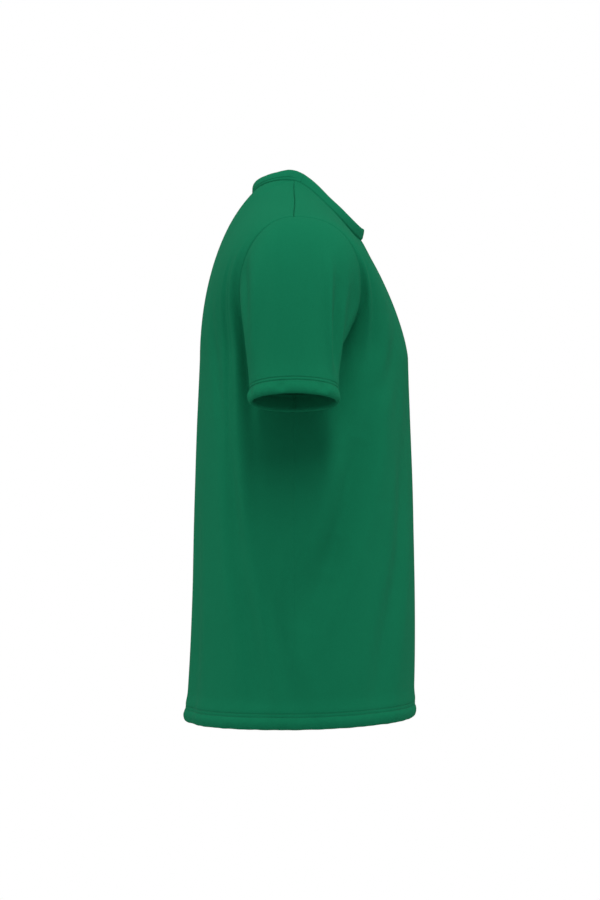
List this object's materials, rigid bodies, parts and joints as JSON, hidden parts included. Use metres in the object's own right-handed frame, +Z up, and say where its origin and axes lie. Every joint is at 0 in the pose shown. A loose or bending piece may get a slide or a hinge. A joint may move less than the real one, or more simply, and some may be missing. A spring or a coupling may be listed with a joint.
{
  "type": "t-shirt",
  "caption": "Short-sleeved crew-neck T-shirt in plain green cotton jersey, empty and held open in its worn form, with a ribbed neckband and turned-up hems.",
  "frame": {"origin": "midway between the neck ends of the two shoulder seams, at their height, where the wearer's shoulders hold the shirt up", "axes": "+Z up, -Y the way the wearer faces, -X the wearer's right and +X the left"},
  "size_m": [0.624, 0.2966, 0.696],
  "materials": {
    "jersey": "matte cotton jersey with a faint nap",
    "rib": "matte fine cotton rib"
  },
  "bodies": {
    "root": {"front": "jersey", "back": "jersey", "sleeve_right": "jersey", "sleeve_left": "jersey", "neckband": "rib"}
  },
  "joints": []
}
